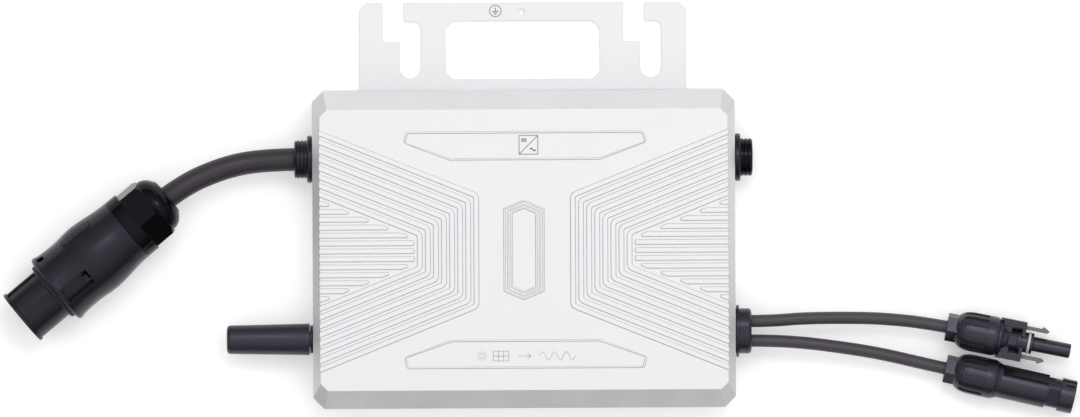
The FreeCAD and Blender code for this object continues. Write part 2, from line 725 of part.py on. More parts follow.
def antenna_base():
    profile = [(-SHANK_IN, 1.6), (-SHANK_IN, ANTENNA_STUB_R), (FLANGE_GASKET, ANTENNA_STUB_R),
               (FLANGE_GASKET, 6.6), (1.4, 6.6), (1.4, 3.6), (8.0, 3.6), (8.0, 1.6)]
    return side(turned(profile), -HALF_X, ANTENNA_Y, -1)


def antenna_seal():
    return side(ring(5.4, 3.75, 1.8, 1.2), -HALF_X, ANTENNA_Y, -1)


def antenna_sleeve():
    end = ANTENNA_LENGTH
    tip = ANTENNA_TIP_R
    sleeve = turned([(1.6, 0), (1.6, ANTENNA_BASE_R), (end - 1.6, tip), (end - 0.5, tip - 0.45),
                     (end, tip - 1.6), (end, 0)])
    hollow = turned([(1.0, 0), (1.0, 5.5), (3.2, 5.5), (3.2, 3.75), (10.2, 3.75), (10.2, 3.0),
                     (end - 2.5, 3.0), (end - 2.5, 0)])
    return side(sleeve.cut(hollow), -HALF_X, ANTENNA_Y, -1)


def antenna_element():
    rod = disc(1.2, (10.4, 0, 0), X, ANTENNA_LENGTH - 13.5)
    return side(rod.fuse(disc(2.95, (10.4, 0, 0), X, 1.6)), -HALF_X, ANTENNA_Y, -1)


def stadium(width, height, start, length):
    """A flat-sided oval plate across the X axis, wide along Y."""
    r = height / 2
    reach = width / 2 - r
    middle = box(start, start + length, -reach, reach, -r, r)
    ends = [disc(r, (start, sign * reach, 0), X, length) for sign in (-1, 1)]
    return middle.multiFuse(ends).removeSplitter()


def lead_holes(r, start, length):
    return Part.makeCompound([disc(r, (start, sign * DC_EXIT, 0), X, length) for sign in (-1, 1)])


DC_LEAD_HOLE = 3.1
DC_GLAND_END = 7.6


def dc_gland_body():
    body = stadium(24.7, 21.6, FLANGE_GASKET, 1.2).fuse(disc(SHANK_R, (-SHANK_IN, 0, 0), X, SHANK_IN + 1))
    body = body.fuse(stadium(18.6, 13.0, 1.7, 2.6))
    return side(body.cut(lead_holes(DC_LEAD_HOLE, -SHANK_IN - 1, 20)), HALF_X, DC_PORT_Y, 1)


def dc_gland_seal():
    seal = stadium(17.6, 12.0, 4.3, 1.2).cut(lead_holes(DC_LEAD_HOLE, 0, 9))
    return side(seal, HALF_X, DC_PORT_Y, 1)


def dc_gland_cap():
    cap = stadium(21.4, 18.4, 1.7, DC_GLAND_END - 1.7)
    front = [edge for edge in cap.Edges if abs(edge.BoundBox.XMin - DC_GLAND_END) < 0.01
             and abs(edge.BoundBox.XMax - DC_GLAND_END) < 0.01]
    cap = cap.makeFillet(1.6, front)
    cap = cap.cut(stadium(18.7, 13.1, 1.6, 3.9)).cut(lead_holes(DC_LEAD_HOLE, 0, 12))
    return side(cap, HALF_X, DC_PORT_Y, 1)


# ---------------------------------------------------------------- leads

def lead(name, route, r):
    """A tube of straight runs joined by tangent arcs."""
    points = [Vector(*p) for p in route]
    edges = []
    radii = []
    start = points[0]
    for before, corner, after in zip(points, points[1:], points[2:]):
        back = (before - corner).normalize()
        ahead = (after - corner).normalize()
        half_turn = (math.pi - back.getAngle(ahead)) / 2
        cut = 0.45 * min((before - corner).Length, (after - corner).Length)
        radius = cut / math.tan(half_turn)
        radii.append(round(radius, 1))
        enter, leave = corner + back * cut, corner + ahead * cut
        inward = (back + ahead).normalize()
        middle = corner + inward * (radius / math.cos(half_turn) - radius)
        edges.append(Part.LineSegment(start, enter).toShape())
        edges.append(Part.Arc(enter, middle, leave).toShape())
        start = leave
    edges.append(Part.LineSegment(start, points[-1]).toShape())
    path = Part.Wire(edges)
    direction = (points[1] - points[0]).normalize()
    circle = Part.Wire(Part.makeCircle(r, points[0], direction))
    tube = path.makePipeShell([circle], True, True)
    ratio = tube.Volume / (math.pi * r * r * path.Length)
    print(name, "length", round(path.Length, 1), "radii", radii, "volume ratio", round(ratio, 4))
    return tube


def ac_cable():
    return lead("ac_cable", AC_ROUTE, AC_LEAD_R)


def dc_cable_upper():
    return lead("dc_cable_upper", DC_UPPER_ROUTE, DC_LEAD_R)


def dc_cable_lower():
    return lead("dc_cable_lower", DC_LOWER_ROUTE, DC_LEAD_R)


# ---------------------------------------------------------------- AC plug, built along +X from its mouth

def at_ac_plug(shape):
    return placed(shape, AC_PLUG_ORIGIN, AC_PLUG_ANGLE)


def radial(solid, angle):
    """Turn a feature built on top (+Z) about the plug's or connector's axis, positive towards -Y."""
    solid.rotate(ORIGIN, X, angle)
    return solid


def ac_plug_shroud():
    bore = AC_SHROUD_BORE
    shell = turned([(0, bore), (0, AC_LIP_R), (1.5, AC_LIP_R), (1.8, AC_SHROUD_R), (36, AC_SHROUD_R),
                    (36, bore)])
    low, high = AC_SHROUD_R - 0.4, AC_SHROUD_R + AC_RIB_HEIGHT
    ribs = [radial(box(1.6, AC_RIB_END, -0.35, 0.35, low, high), angle) for angle in AC_RIB_ANGLES]
    ribs.append(radial(box(AC_RIB_END - 1.2, AC_RIB_END, -1.8, 1.8, low, high), AC_STOP_ANGLE))
    keyway = box(-1, 12, -1.5, 1.5, bore - 1, bore + 0.9)
    return at_ac_plug(shell.multiFuse(ribs).cut(keyway))


def pin_places():
    return [(AC_PIN_CIRCLE * math.sin(math.radians(a)), AC_PIN_CIRCLE * math.cos(math.radians(a)))
            for a in (0, 120, 240)]


def ac_plug_insert():
    insert = disc(AC_SHROUD_BORE - 0.1, (16, 0, 0), X, 18)
    holes = [disc(AC_PIN_R + 0.05, (10, y, z), X, 30) for y, z in pin_places()]
    return at_ac_plug(insert.cut(Part.makeCompound(holes)))


def ac_plug_contacts():
    pins = []
    for y, z in pin_places():
        pin = disc(AC_PIN_R, (8, 0, 0), X, 26)
        pin = pin.makeFillet(0.7, [edge for edge in pin.Edges if edge.BoundBox.XMax < 8.01])
        pin.translate(Vector(0, y, z))
        pins.append(pin)
    return at_ac_plug(Part.makeCompound(pins))


def ac_plug_cores():
    """Insulated wires drawn together from the pins to the end of the lead."""
    cores = []
    for y, z in pin_places():
        aim = Vector(AC_LEAD_START - 34, y * -0.58, z * -0.58)
        length = aim.Length
        aim.normalize()
        start = Vector(34, y, z) - aim * 2
        core = Part.makeCylinder(1.6, length + 4, start, aim)
        cores.append(core.common(box(34, AC_LEAD_START, -12, 12, -12, 12)))
    return at_ac_plug(Part.makeCompound(cores))


def ac_plug_seal():
    start, end = AC_BODY_FRONT - 2.0, AC_BODY_FRONT - 0.1
    inner, outer = AC_SHROUD_R + 0.05, AC_SHROUD_R + 1.9
    return at_ac_plug(turned([(start, inner), (start, outer - 0.5), (start + 0.5, outer), (end, outer),
                              (end, inner)]))


def ac_plug_pad():
    """Cross-ribbed oval thumb pad standing a little proud of the body."""
    half = AC_PAD_WIDTH / 2
    start, end = AC_PAD_START + half, AC_PAD_END - half
    oval = box(start, end, -half, half, 14.5, 20)
    oval = oval.multiFuse([disc(half, (x, 0, 14.5), Z, 5.5) for x in (start, end)])
    skin = [(s, r + AC_PAD_HEIGHT) for s, r in AC_CROWN[2:-3]]
    oval = oval.common(turned([(AC_PAD_START - 1, 0)] + skin + [(AC_PAD_END + 1, 0)]))
    grooves = []
    for index in range(1, int((AC_PAD_END - AC_PAD_START) / AC_PAD_PITCH)):
        grooves.append(ring(20, 17.2, AC_PAD_START + index * AC_PAD_PITCH, AC_PAD_PITCH * 0.4))
    return radial(oval.cut(Part.makeCompound(grooves)), AC_PAD_ANGLE)


def ac_plug_body():
    front = [(AC_BODY_FRONT, AC_SHROUD_R + 0.1), (AC_BODY_FRONT, 17.2), (21.2, 18.0), (22.6, 18.0),
             AC_CROWN[0]]
    back = [AC_CROWN[-1], (AC_SEAM, AC_THREAD_R), (AC_THREAD_END, AC_THREAD_R),
            (AC_THREAD_END, AC_THREAD_BORE), (60.0, AC_THREAD_BORE), (58.0, AC_BODY_BORE),
            (36.3, AC_BODY_BORE), (36.3, AC_SHROUD_R + 0.1), (AC_BODY_FRONT, AC_SHROUD_R + 0.1)]
    crown = Part.BSplineCurve()
    crown.interpolate([Vector(s, r, 0) for s, r in AC_CROWN])
    edges = Part.makePolygon([Vector(s, r, 0) for s, r in front]).Edges + [crown.toShape()]
    edges += Part.makePolygon([Vector(s, r, 0) for s, r in back]).Edges
    body = Part.Face(Part.Wire(edges)).revolve(ORIGIN, X, 360)
    window = radial(box(AC_WINDOW_START, AC_WINDOW_END, -3.85, 3.85, AC_POCKET_FLOOR, 20), AC_WINDOW_ANGLE)
    slot = radial(box(22.8, 26.2, -1.9, 1.9, AC_POCKET_FLOOR, 20), AC_SLOT_ANGLE)
    button = radial(box(AC_WINDOW_END - 3.2, AC_WINDOW_END - 0.9, -1.6, 1.6, AC_POCKET_FLOOR - 0.2, 16.8),
                    AC_WINDOW_ANGLE)
    return at_ac_plug(body.fuse(ac_plug_pad()).cut(window).cut(slot).fuse(button))


def ac_plug_clamp():
    cage = ring(AC_CLAMP_R, AC_CLAMP_BORE, AC_CLAMP_START, AC_CLAMP_LENGTH)
    gaps = []
    for i in range(6):
        gap = box(66.5, 76, -0.7, 0.7, 5, 13)
        gap.rotate(ORIGIN, X, 60 * i)
        gaps.append(gap)
    seal = ring(AC_CLAMP_BORE, AC_LEAD_R + 0.15, AC_CLAMP_START, AC_CLAMP_LENGTH)
    return at_ac_plug(cage.cut(Part.makeCompound(gaps)).fuse(seal))


def ac_nut_grip(start):
    """A round collar, then six flats whose corners and rear edge are turned off."""
    envelope = turned([(start, 0), (start, AC_NUT_R), (AC_NUT_END - 1.7, AC_NUT_R), (AC_NUT_END, 14.6),
                       (AC_NUT_END, 0)])
    collar = disc(AC_NUT_R + 1, (start, 0, 0), X, AC_NUT_COLLAR)
    corner_r = AC_NUT_FLATS / math.sqrt(3)
    hexagon_solid = hex_ring(corner_r, 1.0, start, AC_NUT_END - start)
    hexagon_solid.rotate(ORIGIN, X, AC_NUT_TURN)
    return envelope.common(collar.fuse(hexagon_solid))


def ac_plug_nut():
    start = AC_SEAM + 0.3
    dome = turned([(AC_NUT_END - 1, 0), (AC_NUT_END - 1, 14.0), (AC_NUT_END, 14.0), (83.2, 13.9),
                   (84.6, 13.5), (86.0, 12.7), (87.2, 11.6), (88.3, 10.2), (88.9, 9.3), (89.3, 8.9),
                   (AC_DOME_END, 8.4), (AC_DOME_END, 0)])
    hollow = turned([(start - 1, 0), (start - 1, AC_THREAD_R + 0.2), (76.0, AC_THREAD_R + 0.2), (79.5, 12.0),
                     (84.0, 9.5), (84.0, 6.0), (AC_DOME_END - 3.5, 6.0), (AC_DOME_END + 1, 7.5),
                     (AC_DOME_END + 1, 0)])
    return at_ac_plug(ac_nut_grip(start).fuse(dome).cut(hollow))


# ---------------------------------------------------------------- DC connectors, built along +X from the lead

def dc_nut_skin(depth):
    """Shoulder, long body and rounded front of the nut, set in by this depth."""
    skin = [(4.3, 5.9), (5.0, 6.7), (6.0, 7.6), (7.2, 8.35), (8.8, 8.9), (10.6, 9.2), (12.4, DC_NUT_R),
            (22.2, DC_NUT_R), (23.4, 9.15), (DC_NUT_END, 8.75)]
    return turned([(4.3, 0)] + [(s, r - depth) for s, r in skin] + [(DC_NUT_END, 0)])


def dc_nut():
    """Hexagonal collar, rounded shoulder and a round body with long round-ended grip recesses."""
    collar = radial(hex_ring(DC_COLLAR_R, 1.0, 0, DC_COLLAR), DC_COLLAR_TURN)
    half = DC_RECESS_WIDTH / 2
    recess = box(DC_RECESS_START + half, DC_RECESS_END, -half, half, 6, 10)
    recess = recess.fuse(disc(half, (DC_RECESS_START + half, 0, 6), Z, 4)).cut(dc_nut_skin(DC_RECESS_DEPTH))
    recesses = [radial(recess.copy(), 360 / DC_RECESSES * index + DC_RECESS_TURN)
                for index in range(DC_RECESSES)]
    hollow = turned([(-1, 0), (-1, DC_LEAD_HOLE + 0.9), (2.5, DC_LEAD_HOLE), (6, DC_LEAD_HOLE), (9, 5.6),
                     (16, 6.1), (16, 7.3), (DC_NUT_END + 1, 7.3), (DC_NUT_END + 1, 0)])
    return collar.fuse(dc_nut_skin(0.0)).cut(Part.makeCompound(recesses)).cut(hollow)


def dc_clamp():
    """Toothed cable cage with its rubber sleeve."""
    cage = turned([(8.6, 3.05), (8.6, 5.0), (9.2, 5.3), (15.4, 5.8), (18.0, 5.8), (18.0, 3.05)])
    gaps = []
    for i in range(8):
        gap = box(8, 14.5, -0.35, 0.35, 4.2, 7)
        gap.rotate(ORIGIN, X, 45 * i)
        gaps.append(gap)
    return cage.cut(Part.makeCompound(gaps))


def at_dc_socket(shape):
    return placed(shape, DC_SOCKET_ORIGIN, DC_SOCKET_ANGLE)


def at_dc_plug(shape):
    return placed(shape, DC_PLUG_ORIGIN, DC_PLUG_ANGLE)


def dc_socket_nut():
    return at_dc_socket(dc_nut())


def dc_socket_clamp():
    return at_dc_socket(dc_clamp())


def dc_plug_nut():
    return at_dc_plug(dc_nut())


def dc_plug_clamp():
    return at_dc_plug(dc_clamp())


FRAME_START = 24.8
FRAME_END = 37.0
ARM_OUTER = 9.45
ARM_INNER = 8.4
RAIL_INNER = 6.2
FRAME_HALF = 4.6        # half depth of the frame
RAIL_LOW = 2.9          # the fingers pass between the rails
PRONG_LENGTH = 11.0
PRONG_ROOT = 31.2
PRONG_Y = 6.9


def frame_arm(sign):
    """One side of the latch frame: outer wall, back plate, two rails, slanted webs and end plates."""
    pieces = [box(FRAME_START, FRAME_END, ARM_INNER, ARM_OUTER, -FRAME_HALF, FRAME_HALF),
              box(26, FRAME_END, 2.6, ARM_INNER, -FRAME_HALF, -FRAME_HALF + 0.8)]
    for low, high in ((RAIL_LOW, FRAME_HALF), (-FRAME_HALF, -RAIL_LOW)):
        pieces.append(box(26, FRAME_END, RAIL_INNER, ARM_INNER, low, high))
        pieces.append(box(FRAME_END - 1.6, FRAME_END, 2.6, RAIL_INNER, low, high))
        web = [(25.0, RAIL_INNER), (29.2, 3.4), (30.4, 3.9), (30.4, RAIL_INNER)]
        pieces.append(prism(web, low, high - 0.6))
    arm = pieces[0].multiFuse(pieces[1:])
    return arm if sign > 0 else mirrored(arm, Y)


def dc_socket_housing():
    """Threaded rear, a two-armed latch frame and the round mating tube."""
    core = turned([(18.2, 2.4), (18.2, 7.1), (DC_NUT_END + 0.3, 7.1), (DC_NUT_END + 0.3, 8.6), (25.8, 8.5),
                   (26.6, 8.0), (26.9, 6.2), (29.4, 5.2), (34.0, 5.0), (34.0, 5.6), (35.2, 5.6), (35.2, 4.8),
                   (38.6, 4.8), (38.6, 4.3), (40.2, 4.3), (40.2, 4.95), (41.2, 4.95), (41.6, DC_TUBE_R),
                   (DC_SOCKET_LENGTH - 0.4, DC_TUBE_R), (DC_SOCKET_LENGTH, DC_TUBE_R - 0.4),
                   (DC_SOCKET_LENGTH, 2.4)])
    plate = box(29.6, 33.6, -2.1, 2.1, 4.0, 5.9)
    return at_dc_socket(core.multiFuse([plate, frame_arm(1), frame_arm(-1)]).removeSplitter())


def latch(sign):
    """A sprung finger with an outward barb, rooted inside the frame's arm."""
    y = PRONG_Y
    tip = FRAME_END + PRONG_LENGTH
    points = [(PRONG_ROOT, y - 0.9), (tip - 1.0, y - 0.9), (tip, y - 0.1), (tip - 0.2, y + 0.5),
              (tip - 3.0, y + 1.9), (tip - 3.6, y + 0.9), (PRONG_ROOT, y + 0.9)]
    finger = prism([(s, v) for s, v in points], -2.3, 2.3)
    return at_dc_socket(finger if sign > 0 else mirrored(finger, Y))


def dc_socket_latch_upper():
    return latch(1)


def dc_socket_latch_lower():
    return latch(-1)


def dc_socket_seal():
    return at_dc_socket(turned([(38.75, 4.35), (38.75, 4.75), (39.0, 5.0), (39.8, 5.0), (40.05, 4.75),
                                (40.05, 4.35)]))


def dc_socket_contact():
    """Crimped tube contact: its crimp meets the lead's end, its spring cup sits in the mating tube."""
    return at_dc_socket(turned([(DC_LEAD_END, 0), (DC_LEAD_END, 2.3), (56.0, 2.3), (56.0, 1.7),
                                (46.0, 1.7), (46.0, 0)]))


def dc_plug_housing():
    """Threaded rear, round barrel with two latch slots, a neck with a window and the front collar."""
    front = DC_PLUG_LENGTH
    barrel = turned([(18.2, 2.4), (18.2, 7.1), (DC_NUT_END + 0.3, 7.1), (DC_NUT_END + 0.3, 8.6),
                     (26.6, DC_BARREL_R), (DC_NECK_START, DC_BARREL_R), (DC_NECK_START, DC_NECK_R),
                     (DC_NECK_END, DC_NECK_R), (DC_NECK_END, DC_BARREL_R), (front - 0.4, DC_BARREL_R),
                     (front, DC_BARREL_R - 0.4), (front, 5.1), (front - 8, 5.1), (front - 9, 3.65),
                     (42, 3.65), (42, 2.4)])
    cuts = []
    strips = []
    for turn in (DC_SLOT_TURN, DC_SLOT_TURN + 180):
        cuts.append(radial(box(27.2, DC_NECK_START, -DC_SLOT_HALF, DC_SLOT_HALF, 6.3, 10), turn))
        cuts.append(radial(box(DC_NECK_END - 1, front + 1, -2.4, 2.4, 7.0, 10), turn))
        strips.append(radial(box(31.5, DC_NECK_START + 3, -1.9, 1.9, 5.8, 7.25), turn))
        strips.append(radial(box(DC_NECK_END + 2, front, -0.7, 0.7, 6.8, 7.6), turn))
    cuts.append(radial(box(DC_NECK_START + 0.8, DC_NECK_END, -4.6, 4.6, 5.5, 10), DC_WINDOW_TURN))
    return at_dc_plug(barrel.cut(Part.makeCompound(cuts)).multiFuse(strips))


def dc_plug_contact():
    """Crimped pin contact."""
    return at_dc_plug(turned([(DC_LEAD_END, 0), (DC_LEAD_END, 2.3), (41.0, 2.3), (41.0, 1.9), (50.5, 1.9),
                              (52.0, 1.0), (52.0, 0)]))


# ---------------------------------------------------------------- build

NODES = [front_housing, rear_cover, cover_gasket, cover_screws, mounting_bracket, bracket_screws,
         main_circuit_board, board_screws, transformer_core, transformer_winding, input_capacitors,
         film_capacitors, choke_core, choke_winding, power_transistors, thermal_pads, grid_relays,
         control_chips, radio_module, surge_varistors, terminal_posts, inner_leads,
         gland_gaskets, gland_locknuts, ac_gland_body, ac_gland_seal, ac_gland_nut,
         spare_port_body, spare_port_seal, spare_port_cap,
         antenna_base, antenna_seal, antenna_sleeve, antenna_element,
         dc_gland_body, dc_gland_seal, dc_gland_cap,
         ac_cable, ac_plug_shroud, ac_plug_insert, ac_plug_contacts, ac_plug_cores, ac_plug_seal,
         ac_plug_body, ac_plug_clamp, ac_plug_nut,
         dc_cable_upper, dc_socket_nut, dc_socket_clamp, dc_socket_housing, dc_socket_latch_upper,
         dc_socket_latch_lower, dc_socket_seal, dc_socket_contact,
         dc_cable_lower, dc_plug_nut, dc_plug_clamp, dc_plug_housing, dc_plug_contact]


def main():
    os.makedirs("parts", exist_ok=True)
    for node in NODES:
        shape = node()
        if not shape.isValid() or not shape.Solids:
            print("not a valid solid:", node.__name__)
        shape.exportStep("parts/" + node.__name__ + ".step")


main()
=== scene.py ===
import json
import math

import bpy
from mathutils import Matrix, Vector


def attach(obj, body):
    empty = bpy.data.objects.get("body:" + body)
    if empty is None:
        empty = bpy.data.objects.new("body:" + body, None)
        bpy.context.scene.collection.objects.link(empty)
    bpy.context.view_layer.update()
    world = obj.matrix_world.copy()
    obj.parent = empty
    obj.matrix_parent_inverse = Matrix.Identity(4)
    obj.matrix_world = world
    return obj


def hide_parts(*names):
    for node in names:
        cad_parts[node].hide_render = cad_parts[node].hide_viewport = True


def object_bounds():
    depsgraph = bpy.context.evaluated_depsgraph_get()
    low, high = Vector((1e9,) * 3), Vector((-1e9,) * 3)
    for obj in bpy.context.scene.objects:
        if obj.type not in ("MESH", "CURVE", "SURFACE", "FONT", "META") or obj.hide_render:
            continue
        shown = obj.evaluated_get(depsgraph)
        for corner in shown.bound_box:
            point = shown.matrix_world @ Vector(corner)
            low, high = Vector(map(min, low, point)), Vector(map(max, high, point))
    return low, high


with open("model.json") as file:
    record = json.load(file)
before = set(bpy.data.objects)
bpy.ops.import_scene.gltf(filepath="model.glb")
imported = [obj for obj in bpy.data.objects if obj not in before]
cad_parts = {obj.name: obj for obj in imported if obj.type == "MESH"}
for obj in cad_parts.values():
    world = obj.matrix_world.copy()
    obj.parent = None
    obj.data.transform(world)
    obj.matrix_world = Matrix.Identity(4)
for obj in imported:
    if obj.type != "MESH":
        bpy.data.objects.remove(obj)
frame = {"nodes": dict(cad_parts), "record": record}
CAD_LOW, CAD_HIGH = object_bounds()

# Camera: straight down on the front face, leaning a little towards the top and the left.
AIM = Vector((0.0076, 0.0194, 0.030))
LEAN_UP = 2.0           # degrees
LEAN_LEFT = 0.5
ROLL = 0.3
VIEW_WIDTH = 0.508      # metres across the picture at the front face
DISTANCE = 8.0
SENSOR = 36.0

# Light: how the room's brightness grows along X, Y and Z, and what it is at the horizon
ROOM_SLOPE = (0.11, 0.23, 1.31)
ROOM_LEVEL = 0.03
ROOM_FLOOR = 0.05       # darkest the room gets
KEY_POWER = 14.0
KEY_PLACE = (0.35, 1.2, 2.75)
KEY_SIZE = (1.6, 0.7)
FLOOR_GLOW = 0.27       # keeps shadows on the floor faint
FLOOR_REACH = 6.0
FLOOR_GAP = 0.0002      # below the part's lowest point

# Leads: the CAD routes in metres
AC_ROUTE = [(-0.102, 0.0426, 0.014), (-0.121, 0.0426, 0.014), (-0.1413, 0.0392, 0.0156),
            (-0.16389, 0.02906, 0.0183), (-0.18159, 0.01437, 0.0183)]
DC_UPPER_ROUTE = [(0.102, -0.0348, 0.014), (0.116, -0.0348, 0.014), (0.1315, -0.0336, 0.0136),
                  (0.149, -0.0335, 0.0125), (0.168, -0.0339, 0.0108), (0.19058, -0.03629, 0.0094),
                  (0.21233, -0.04075, 0.0094)]
DC_LOWER_ROUTE = [(0.102, -0.044, 0.014), (0.116, -0.044, 0.014), (0.133, -0.0452, 0.0135),
                  (0.150, -0.0475, 0.0124), (0.168, -0.0505, 0.0108), (0.18983, -0.05578, 0.0094),
                  (0.21146, -0.06077, 0.0094)]
AC_LEAD_DIAMETER = 0.0108
DC_LEAD_DIAMETER = 0.0059
STEPS_ROUND = 8         # of a lead's section
STEPS_ALONG = 16        # of a lead, from one route point to the next


# ---------------------------------------------------------------- materials

NOISE_LOW, NOISE_HIGH = 0.3, 0.7    # the part of a noise's range that is used
ROUGH_SPREAD = 0.05
DARKER, LIGHTER = 0.85, 1.15        # a plastic's tones around its level
PATCH_SCALE = 60.0
EDGE_ROUND = 0.0003                 # rounding of sharp edges, in shading only


def node(tree, kind, inputs=None, **settings):
    made = tree.nodes.new("ShaderNode" + kind)
    for name, value in settings.items():
        setattr(made, name, value)
    for key, value in (inputs or {}).items():
        if isinstance(value, bpy.types.NodeSocket):
            tree.links.new(value, made.inputs[key])
        else:
            made.inputs[key].default_value = value
    return made


def new_shader(name, **constants):
    """A material with a Principled shader and its object coordinates."""
    material = bpy.data.materials.new(name)
    material.use_nodes = True
    tree = material.node_tree
    shader = tree.nodes["Principled BSDF"]
    for key, value in constants.items():
        shader.inputs[key.replace("_", " ")].default_value = value
    place = node(tree, "TexCoord").outputs["Object"]
    return material, tree, shader, place


def noise(tree, place, scale, detail):
    return node(tree, "TexNoise", {"Vector": place, "Scale": scale, "Detail": detail, "Roughness": 0.5})


def ramp(tree, value, low, high):
    """A two-colour ramp over part of a noise's range."""
    made = node(tree, "ValToRGB", {"Fac": value})
    made.color_ramp.elements[0].position = NOISE_LOW
    made.color_ramp.elements[1].position = NOISE_HIGH
    made.color_ramp.elements[0].color = (*low, 1.0)
    made.color_ramp.elements[1].color = (*high, 1.0)
    return made.outputs["Color"]


def spread(tree, value, low, high):
    """The same part of a noise's range, brought to these limits."""
    made = node(tree, "MapRange", {"Value": value, "From Min": NOISE_LOW, "From Max": NOISE_HIGH,
                                   "To Min": low, "To Max": high})
    return made.outputs["Result"]


def grey(value, tint=(1.0, 1.0, 1.0)):
    return tuple(value * part for part in tint)


def grained(name, low, high, rough, grain, depth, metallic=0.0, **constants):
    """A moulded, cast or rolled surface: grain in the colour, roughness and bump, over slow patches."""
    material, tree, shader, place = new_shader(name, Metallic=metallic, **constants)
    fine = noise(tree, place, grain, 3.0)
    slow = noise(tree, place, PATCH_SCALE, 2.0)
    both = node(tree, "Math", {0: fine.outputs["Fac"], 1: slow.outputs["Fac"]}, operation="ADD")
    half = node(tree, "Math", {0: both.outputs["Value"], 1: 0.5}, operation="MULTIPLY")
    tree.links.new(ramp(tree, half.outputs["Value"], low, high), shader.inputs["Base Color"])
    roughness = spread(tree, slow.outputs["Fac"], rough - ROUGH_SPREAD, rough + ROUGH_SPREAD)
    tree.links.new(roughness, shader.inputs["Roughness"])
    round_edge = node(tree, "Bevel", {"Radius": EDGE_ROUND}, samples=4)
    bump = node(tree, "Bump", {"Height": fine.outputs["Fac"], "Distance": depth, "Strength": 1.0,
                               "Normal": round_edge.outputs["Normal"]})
    tree.links.new(bump.outputs["Normal"], shader.inputs["Normal"])
    return material


# Tints: multiplied with a grey level
LILAC = (0.985, 0.975, 1.0)
INK = (0.98, 0.94, 1.22)
UMBER = (1.0, 0.90, 1.04)


def plastic(name, level, rough, grain=2200.0, depth=0.00003, shine=0.3, tint=INK):
    return grained(name, grey(level * DARKER, tint), grey(level * LIGHTER, tint), rough, grain, depth,
                   Specular_IOR_Level=shine, Specular_Tint=(*tint, 1.0))


MATERIALS = {
    "cast": grained("cast_aluminium", grey(0.68, LILAC), grey(0.74, LILAC), 0.45, 2600.0, 0.00006,
                    metallic=0.75),
    "sheet": grained("bracket_sheet", grey(0.65, LILAC), grey(0.71, LILAC), 0.42, 3000.0, 0.00003,
                     metallic=0.75),
    "steel": grained("zinc_steel", grey(0.55), grey(0.68), 0.3, 1800.0, 0.00002, metallic=1.0),
    "black_rubber": plastic("black_rubber", 0.012, 0.55, 1500.0, 0.00004),
    "cable_sheath": plastic("cable_sheath", 0.022, 0.45, 1400.0, 0.00004, 0.40, UMBER),
    "black_plastic": plastic("black_plastic", 0.004, 0.30, shine=0.30),
    "gloss_black": plastic("gloss_black", 0.001, 0.14, 900.0, 0.00001, 0.13),
    "pale_rubber": grained("pale_rubber", grey(0.42), grey(0.52), 0.45, 1500.0, 0.00002),
    "brass": grained("brass", (0.62, 0.42, 0.16), (0.74, 0.52, 0.22), 0.28, 1500.0, 0.00001, metallic=1.0),
    "copper": grained("copper", (0.70, 0.28, 0.12), (0.82, 0.36, 0.17), 0.3, 1500.0, 0.00001, metallic=1.0),
    "ferrite": grained("ferrite", grey(0.05), grey(0.09), 0.7, 2600.0, 0.00006),
    "board": grained("circuit_board", (0.01, 0.09, 0.035), (0.02, 0.14, 0.055), 0.35, 1200.0, 0.00002),
    "can": grained("capacitor_can", grey(0.48), grey(0.58), 0.3, 900.0, 0.00001, metallic=1.0),
    "chip": grained("chip_epoxy", grey(0.02), grey(0.035), 0.5, 3000.0, 0.00003),
    "film": grained("film_capacitor", (0.50, 0.30, 0.04), (0.62, 0.40, 0.07), 0.35, 1200.0, 0.00001),
    "relay": grained("relay_case", grey(0.03), grey(0.05), 0.35, 1600.0, 0.00001),
    "pad": grained("gap_pad", (0.30, 0.38, 0.52), (0.38, 0.46, 0.60), 0.7, 1800.0, 0.00004),
    "varistor": grained("varistor", (0.02, 0.10, 0.30), (0.04, 0.16, 0.40), 0.4, 1400.0, 0.00001),
}

# Nodes whose mouldings are lighter or darker than their slot's, by the start of their name
SHADES = {
    "dc_socket_latch": grained("pale_latch", grey(0.10), grey(0.14), 0.35, 2200.0, 0.00003),
    "dc_socket": plastic("dc_moulding", 0.010, 0.30, shine=0.50),
    "dc_plug": plastic("dc_moulding_plug", 0.009, 0.32, shine=0.48),
    "antenna": plastic("antenna_moulding", 0.010, 0.38, shine=0.45),
    "dc_gland": plastic("gland_moulding", 0.010, 0.28, shine=0.4),
}
SHADED_SLOT = "black_plastic"
DC_SHEATH = plastic("dc_sheath", 0.050, 0.42, 1400.0, 0.00004, 0.4, UMBER)
PRINT_DARK = plastic("dark_print", 0.06, 0.6, tint=LILAC)
PRINT_PALE = plastic("pale_print", 0.33, 0.6, tint=LILAC)
# Faint grey print that is painted shade, in place of the shade of marks cast in relief
PAINTED_RELIEF_SHADE = plastic("painted_relief_shade", 0.55, 0.6, tint=LILAC)


def finish_nodes():
    """Give every CAD node the material of its record slot, or its own shade of it."""
    for row in frame["record"]["subparts"]:
        name, slot = row["node"], row["material_slot"]
        shades = [look for start, look in SHADES.items() if name.startswith(start) and slot == SHADED_SLOT]
        piece = frame["nodes"][name]
        piece.data.materials.clear()
        piece.data.materials.append(shades[0] if shades else MATERIALS[slot])


# ---------------------------------------------------------------- camera, light and floor

def add_camera():
    data = bpy.data.cameras.new("camera")
    data.sensor_width = SENSOR
    data.lens = SENSOR * DISTANCE / VIEW_WIDTH
    data.clip_start = 0.1
    data.clip_end = 20.0
    camera = bpy.data.objects.new("camera", data)
    bpy.context.scene.collection.objects.link(camera)
    lean = Matrix.Rotation(math.radians(-LEAN_UP), 4, "X") @ Matrix.Rotation(math.radians(-LEAN_LEFT), 4, "Y")
    back = lean @ Vector((0, 0, 1))
    camera.matrix_world = Matrix.Translation(AIM + back * DISTANCE) @ lean @ Matrix.Rotation(
        math.radians(-ROLL), 4, "Z")
    bpy.context.scene.camera = camera


